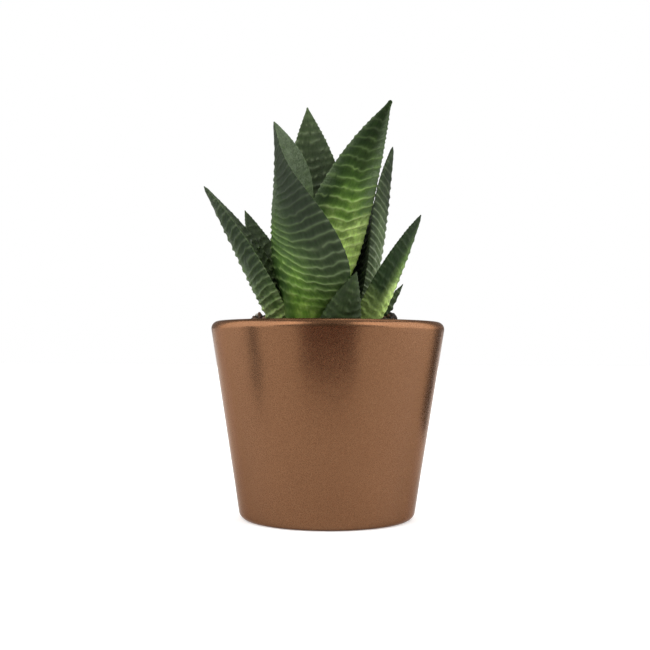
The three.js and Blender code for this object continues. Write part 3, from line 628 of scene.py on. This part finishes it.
class Shader:
    """A material's node tree, with short ways to add nodes to it."""

    def __init__(self, name, **constants):
        self.material = bpy.data.materials.new(name)
        self.material.use_nodes = True
        self.tree = self.material.node_tree
        self.surface = self.tree.nodes["Principled BSDF"]
        for socket, value in constants.items():
            self.surface.inputs[socket.replace("_", " ")].default_value = value

    def add(self, kind, inputs=None, **settings):
        node = self.tree.nodes.new("ShaderNode" + kind)
        for key, value in settings.items():
            setattr(node, key, value)
        for key, value in (inputs or {}).items():
            if isinstance(value, bpy.types.NodeSocket):
                self.tree.links.new(value, node.inputs[key])
            else:
                node.inputs[key].default_value = value
        return node

    def place(self):
        """Where the point is, in millimetres."""
        spot = self.add("TexCoord").outputs["Object"]
        return self.add("VectorMath", {0: spot, 1: (1000, 1000, 1000)}, operation="MULTIPLY").outputs[0]

    def attribute(self, name, output="Fac"):
        return self.add("Attribute", attribute_name=name).outputs[output]

    def noise(self, vector, scale, detail=2.0, roughness=0.5):
        inputs = {"Vector": vector, "Scale": scale, "Detail": detail, "Roughness": roughness}
        return self.add("TexNoise", inputs).outputs["Fac"]

    def math(self, operation, a, b=0.0, clamp=False):
        return self.add("Math", {0: a, 1: b}, operation=operation, use_clamp=clamp).outputs[0]

    def remap(self, value, low, high, to_low=0.0, to_high=1.0, smooth=True):
        inputs = {"Value": value, "From Min": low, "From Max": high, "To Min": to_low, "To Max": to_high}
        kind = "SMOOTHSTEP" if smooth else "LINEAR"
        return self.add("MapRange", inputs, interpolation_type=kind).outputs["Result"]

    def mix(self, factor, a, b, blend="MIX"):
        node = self.add("Mix", data_type="RGBA", blend_type=blend)
        for socket, value in ((node.inputs[0], factor), (node.inputs[6], a), (node.inputs[7], b)):
            if isinstance(value, bpy.types.NodeSocket):
                self.tree.links.new(value, socket)
            else:
                socket.default_value = value if isinstance(value, float) else (*value, 1)
        return node.outputs[2]

    def ramp(self, value, stops):
        node = self.add("ValToRGB", {"Fac": value})
        elements = node.color_ramp.elements
        while len(elements) < len(stops):
            elements.new(0.5)
        for element, (spot, colour) in zip(elements, stops):
            element.position = spot
            element.color = (*colour, 1)
        return node.outputs["Color"]

    def bump(self, height, distance, strength=1.0, normal=None):
        inputs = {"Height": height, "Distance": distance, "Strength": strength}
        if normal is not None:
            inputs["Normal"] = normal
        return self.add("Bump", inputs).outputs["Normal"]

    def drive(self, **sockets):
        for socket, value in sockets.items():
            self.tree.links.new(value, self.surface.inputs[socket.replace("_", " ")])

    def paint(self, *pieces):
        for piece in pieces:
            piece.data.materials.clear()
            piece.data.materials.append(self.material)


def leaf_material():
    s = Shader("haworthia_leaf", Subsurface_Weight=0.08, Subsurface_Scale=0.001, Specular_IOR_Level=0.03)
    s.surface.inputs["Subsurface Radius"].default_value = (0.6, 1.0, 0.25)
    skin = s.attribute("skin", "Vector")
    place = s.place()
    blotch = s.noise(place, 0.28, 3.0, 0.55)
    streaky = s.add("VectorMath", {0: skin, 1: (2.2, 0.25, 1)}, operation="MULTIPLY").outputs[0]
    streak = s.noise(streaky, 1.0, 2.0)
    fleck = s.noise(skin, 1.9, 2.0, 0.6)

    tone = s.math("ADD", s.attribute("tone"), s.remap(blotch, 0.2, 0.8, -0.14, 0.14))
    grey = s.math("ADD", s.attribute("grey"), s.remap(fleck, 0.3, 0.8, -0.1, 0.2), clamp=True)
    green = s.ramp(
        tone,
        [
            (0.0, (0.55, 0.78, 0.17)),
            (0.1, (0.25, 0.38, 0.067)),
            (0.25, (0.11, 0.215, 0.026)),
            (0.5, (0.050, 0.105, 0.015)),
            (0.75, (0.024, 0.045, 0.009)),
            (1.0, (0.010, 0.018, 0.005)),
        ],
    )
    dull = s.ramp(
        tone,
        [
            (0.0, (0.30, 0.36, 0.24)),
            (0.25, (0.085, 0.12, 0.055)),
            (0.65, (0.036, 0.05, 0.024)),
            (1.0, (0.011, 0.016, 0.008)),
        ],
    )
    body = s.mix(grey, green, dull)
    # Painted shade: the skin darkens where the dark patches lie, towards a greyer dark where the skin is grey.
    painted_shade, bloom = s.attribute("painted_shade"), s.attribute("bloom")
    body = s.mix(painted_shade, body, s.mix(grey, (0.010, 0.024, 0.005), (0.018, 0.024, 0.015)))
    # Valleys get painted shade, a little darker than the swell of a ridge, and the skin is streaked lengthwise.
    body = s.mix(s.remap(s.attribute("hump"), 0.0, 0.6, 0.3, 0.0), body, (0.008, 0.02, 0.005))
    tint = s.remap(streak, 0.3, 0.7, 0.86, 1.14)
    body = s.mix(1.0, body, s.add("CombineColor", {0: tint, 1: tint, 2: tint}).outputs[0], "MULTIPLY")
    mottle = s.math("ADD", s.math("MULTIPLY", fleck, 0.5), s.math("MULTIPLY", blotch, 0.5))
    frost = s.math("MULTIPLY", bloom, s.remap(mottle, 0.4, 0.62, 0.35, 1.0), clamp=True)
    body = s.mix(frost, body, (0.13, 0.17, 0.10))
    # The margin is dry and the skin has pale flecks, both of which show less in the painted shade.
    rim = s.attribute("rim")
    clear = s.remap(painted_shade, 0.0, 1.0, 1.0, 0.25)
    body = s.mix(s.math("MULTIPLY", s.remap(rim, 0.2, 1.0, 0.0, 0.25), clear), body, (0.05, 0.075, 0.035))
    body = s.mix(s.math("MULTIPLY", s.remap(fleck, 0.6, 0.8, 0.0, 0.14), clear), body, (0.08, 0.13, 0.05))

    fresh_line = s.ramp(
        tone,
        [
            (0.0, (0.62, 0.72, 0.27)),
            (0.3, (0.42, 0.56, 0.17)),
            (0.55, (0.22, 0.34, 0.09)),
            (0.8, (0.10, 0.16, 0.05)),
            (1.0, (0.06, 0.09, 0.035)),
        ],
    )
    dull_line = s.ramp(tone, [(0.0, (0.36, 0.41, 0.29)), (0.6, (0.17, 0.21, 0.12)), (1.0, (0.07, 0.09, 0.055))])
    pale = s.mix(grey, fresh_line, dull_line)
    # The pale crests are dimmed in the painted shade as well.
    pale = s.mix(s.math("MULTIPLY", painted_shade, 0.85), pale, (0.10, 0.15, 0.06))
    pale = s.mix(s.remap(rim, 0.6, 1.0, 0.0, 0.4), pale, (0.30, 0.36, 0.22))
    line = s.math("MULTIPLY", s.attribute("line"), s.remap(streak, 0.2, 0.7, 1.1, 0.9), clamp=True)
    colour = s.mix(line, body, pale)

    pores = s.noise(place, 5.0, 3.0, 0.6)
    rough = s.remap(s.noise(place, 0.9, 2.0), 0.3, 0.7, 0.42, 0.58)
    height = s.math("ADD", s.math("MULTIPLY", pores, 0.5), s.math("MULTIPLY", streak, 0.5))
    s.drive(Base_Color=colour, Roughness=rough, Normal=s.bump(height, 0.00012, 0.6))
    return s


def pot_material():
    s = Shader("copper_glaze", Coat_Weight=0.2, Coat_Roughness=0.35)
    s.surface.inputs["Specular Tint"].default_value = (0.55, 0.42, 0.34, 1)
    place = s.place()
    grain = s.noise(place, 3.2, 2.0, 0.7)
    fine = s.noise(place, 7.5, 1.0, 0.5)
    cloud = s.noise(place, 0.09, 3.0, 0.55)
    tone = s.math("ADD", s.math("MULTIPLY", grain, 0.65), s.math("MULTIPLY", fine, 0.35))
    copper = s.ramp(
        tone,
        [(0.3, (0.104, 0.041, 0.016)), (0.5, (0.136, 0.060, 0.025)), (0.7, (0.172, 0.086, 0.040))],
    )
    copper = s.mix(s.remap(cloud, 0.3, 0.7, 0.0, 0.3), copper, (0.126, 0.054, 0.022))
    # The flat underside is bare fired clay, where the pot stood in the kiln.
    height = s.add("SeparateXYZ", {0: place}).outputs[2]
    bare = s.remap(s.math("ADD", height, s.math("MULTIPLY", cloud, 0.08)), 0.06, 0.16, 1.0, 0.0)
    clay = s.ramp(grain, [(0.3, (0.42, 0.24, 0.15)), (0.7, (0.56, 0.36, 0.24))])
    flakes = s.bump(grain, 0.00003, 0.3)
    ripple = s.bump(cloud, 0.0004, 0.35, flakes)
    rough = s.mix(bare, (0.27, 0.27, 0.27), (0.85, 0.85, 0.85))
    rough = s.math("ADD", rough, s.math("MULTIPLY", s.math("SUBTRACT", grain, 0.5), 0.15))
    metal = s.math("MULTIPLY", s.math("SUBTRACT", 1.0, bare), 0.86)
    s.drive(Base_Color=s.mix(bare, copper, clay), Roughness=rough, Normal=ripple, Metallic=metal)
    return s


def soil_material():
    s = Shader("potting_soil_crumbs")
    place = s.place()
    crumb = s.noise(place, 1.1, 4.0, 0.65)
    patch = s.noise(place, 0.22, 2.0)
    dark = s.ramp(
        crumb,
        [(0.3, (0.008, 0.005, 0.004)), (0.55, (0.028, 0.017, 0.011)), (0.75, (0.075, 0.043, 0.026))],
    )
    colour = s.mix(s.remap(patch, 0.35, 0.7, 0.0, 0.5), dark, (0.035, 0.02, 0.013))
    s.drive(
        Base_Color=colour,
        Roughness=s.remap(crumb, 0.2, 0.8, 0.75, 0.98),
        Normal=s.bump(s.noise(place, 3.0, 4.0, 0.7), 0.0004, 0.9),
    )
    return s


def grain_material(name, stops, roughness):
    s = Shader(name)
    place = s.place()
    tone = s.attribute("tone")
    rub = s.noise(place, 2.4, 4.0, 0.65)
    value = s.math("ADD", s.math("MULTIPLY", tone, 0.75), s.math("MULTIPLY", rub, 0.35))
    s.drive(
        Base_Color=s.ramp(value, stops),
        Roughness=s.remap(rub, 0.2, 0.8, roughness - 0.12, roughness),
        Normal=s.bump(s.noise(place, 5.0, 3.0, 0.7), 0.0002, 0.8),
    )
    return s


# ------------------------------------------------------------------ the plant in its pot

leaf_skin_material = leaf_material()
for index, (leaf_name, leaf_data) in enumerate(LEAVES.items()):
    leaf_skin_material.paint(leaf_piece(leaf_name, leaf_data, 100 + 10 * index))

pot_material().paint(pot_piece())
soil_material().paint(soil_piece())
EARTH = [
    (0.15, (0.008, 0.005, 0.004)),
    (0.5, (0.032, 0.019, 0.012)),
    (0.8, (0.085, 0.045, 0.026)),
    (1.0, (0.16, 0.075, 0.04)),
]
BARK = [(0.1, (0.045, 0.02, 0.012)), (0.6, (0.12, 0.055, 0.03)), (1.0, (0.24, 0.14, 0.08))]
GRIT = [(0.1, (0.30, 0.27, 0.23)), (0.8, (0.55, 0.52, 0.47))]
crumb_shader = grain_material("soil_crumb", EARTH, 0.97)
crumb_shader.paint(scatter("soil_crumbs_small", 11, 2600, (0.5, 1.5), (1, 0.8, 0.6), 1, 0.3))
crumb_shader.paint(scatter("soil_crumbs_large", 12, 320, (1.4, 3.0), (1, 0.8, 0.65), 2, 0.45, roughness=0.4))
bark_shader = grain_material("bark_chip", BARK, 0.9)
bark_shader.paint(scatter("bark_chips", 13, 120, (1.4, 2.8), (1.3, 0.5, 0.25), 1, 0.35))
grit_shader = grain_material("white_grit", GRIT, 0.9)
grit_shader.paint(scatter("white_grit", 14, 46, (0.7, 1.7), (1, 0.9, 0.8), 2, 0.2))

stem_shader = Shader("stem_tissue", Subsurface_Weight=0.1, Subsurface_Scale=0.001)
stem_place = stem_shader.place()
stem_fibre = stem_shader.noise(stem_place, 1.4, 3.0)
stem_shader.drive(
    Base_Color=stem_shader.ramp(stem_fibre, [(0.3, (0.2, 0.2, 0.07)), (0.7, (0.38, 0.4, 0.18))]),
    Roughness=stem_shader.remap(stem_fibre, 0.2, 0.8, 0.5, 0.75),
    Normal=stem_shader.bump(stem_fibre, 0.0002, 0.6),
)
stem_shader.paint(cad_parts["stem"])

# ------------------------------------------------------------------ studio


def floor():
    mesh = bpy.data.meshes.new("studio_floor")
    reach = 4.0
    corners = [(-reach, -reach, 0), (reach, -reach, 0), (reach, reach, 0), (-reach, reach, 0)]
    mesh.from_pydata(corners, [], [(0, 1, 2, 3)])
    plane = bpy.data.objects.new("studio_floor", mesh)
    bpy.context.scene.collection.objects.link(plane)
    s = Shader("pale_paper")
    paper = s.noise(s.place(), 0.8, 2.0)
    colour = s.ramp(paper, [(0.2, (0.88, 0.88, 0.88)), (0.8, (0.92, 0.92, 0.92))])
    s.drive(Base_Color=colour, Roughness=s.remap(paper, 0, 1, 0.8, 0.95))
    s.surface.inputs["Emission Color"].default_value = (1, 1, 1, 1)
    s.surface.inputs["Emission Strength"].default_value = 0.25
    s.paint(plane)


def softbox(name, azimuth, elevation, strength, spread):
    """A large far softbox. Azimuth 0 is on the viewer's side of the object and 90 on the viewer's right."""
    light = bpy.data.lights.new(name, "SUN")
    light.energy = strength
    light.angle = math.radians(spread)
    piece = bpy.data.objects.new(name, light)
    bpy.context.scene.collection.objects.link(piece)
    turn, rise = math.radians(azimuth), math.radians(elevation)
    away = Vector((math.sin(turn) * math.cos(rise), -math.cos(turn) * math.cos(rise), math.sin(rise)))
    piece.matrix_world = away.to_track_quat("Z", "Y").to_matrix().to_4x4()


def upright(x, y, width, low, high, azimuth):
    """The corners of an upright card in millimetres, square to that azimuth."""
    turn = math.radians(azimuth)
    step = np.array([math.cos(turn), math.sin(turn)]) * width / 2
    left, right = np.array([x, y]) - step, np.array([x, y]) + step
    corners = [(*left, low), (*right, low), (*right, high), (*left, high)]
    return [tuple(MM * value for value in corner) for corner in corners]


def card(name, corners, dark, light, glow=0.0):
    """A card that only shows in reflections, as a studio sets beside shiny things: black, or lit by itself."""
    mesh = bpy.data.meshes.new(name)
    mesh.from_pydata(corners, [], [(0, 1, 2, 3)])
    piece = bpy.data.objects.new(name, mesh)
    bpy.context.scene.collection.objects.link(piece)
    s = Shader(name, Emission_Strength=glow)
    colour = s.ramp(s.noise(s.place(), 0.5), [(0.2, dark), (0.8, light)])
    s.drive(Base_Color=colour, Emission_Color=colour)
    s.paint(piece)
    piece.visible_camera = piece.visible_diffuse = piece.visible_shadow = piece.visible_transmission = False


floor()
ROOM_LIGHT = 0.4
world = bpy.data.worlds.new("studio")
bpy.context.scene.world = world
world.use_nodes = True
# The backdrop is white, and the room gives less light than that.
sky = world.node_tree
sky.nodes["Background"].inputs["Color"].default_value = (1, 1, 1, 1)
seen = sky.nodes.new("ShaderNodeLightPath").outputs["Is Camera Ray"]
level = sky.nodes.new("ShaderNodeMapRange")
sky.links.new(seen, level.inputs["Value"])
level.inputs["To Min"].default_value = ROOM_LIGHT
level.inputs["To Max"].default_value = 1.0
sky.links.new(level.outputs["Result"], sky.nodes["Background"].inputs["Strength"])
softbox("left_softbox", -58, 38, 2.6, 50)
softbox("right_softbox", 60, 36, 2.4, 50)
softbox("back_softbox", 170, 60, 0.8, 40)

BLACK = ((0.012, 0.01, 0.01), (0.03, 0.028, 0.026))
MAROON = ((0.14, 0.025, 0.01), (0.22, 0.045, 0.02))
WHITE = ((0.88, 0.88, 0.88), (0.92, 0.92, 0.92))
card("left_panel", upright(-500, 60, 800, 20, 760, -78), *WHITE, 2.2)
card("right_panel", upright(500, 60, 700, 20, 700, 78), *WHITE, 2.6)
card("front_flag", upright(3, -125, 116, 10, 60, 0), *MAROON)
card("high_flag", upright(0, -420, 260, 60, 420, 0), *BLACK)
card("left_flag", upright(-110, -46, 22, 12, 62, -78), *BLACK)
card("right_flag", upright(95, 60, 40, 10, 62, 138), *BLACK)

# ------------------------------------------------------------------ camera, fitted to the pot's outline

FOCAL_PX, FRAME_PX, SENSOR = 1000.0, 650.0, 36.0
EYE = (0, -0.3027, 0.0491)
HORIZON_ROW, AXIS_COLUMN, ROLL = 354.7, 327.7, 0.0051
lens = bpy.data.cameras.new("photo_camera")
lens.sensor_width = SENSOR
lens.lens = SENSOR * FOCAL_PX / FRAME_PX
lens.shift_x = (FRAME_PX / 2 - AXIS_COLUMN) / FRAME_PX
lens.shift_y = (HORIZON_ROW - FRAME_PX / 2) / FRAME_PX
lens.clip_start = 0.01
lens.clip_end = 20
camera = bpy.data.objects.new("photo_camera", lens)
bpy.context.scene.collection.objects.link(camera)
upright_turn = Matrix.Rotation(math.pi / 2, 4, "X")
camera.matrix_world = Matrix.Translation(EYE) @ upright_turn @ Matrix.Rotation(ROLL, 4, "Z")
bpy.context.scene.camera = camera
bpy.context.scene.view_settings.view_transform = "Standard"
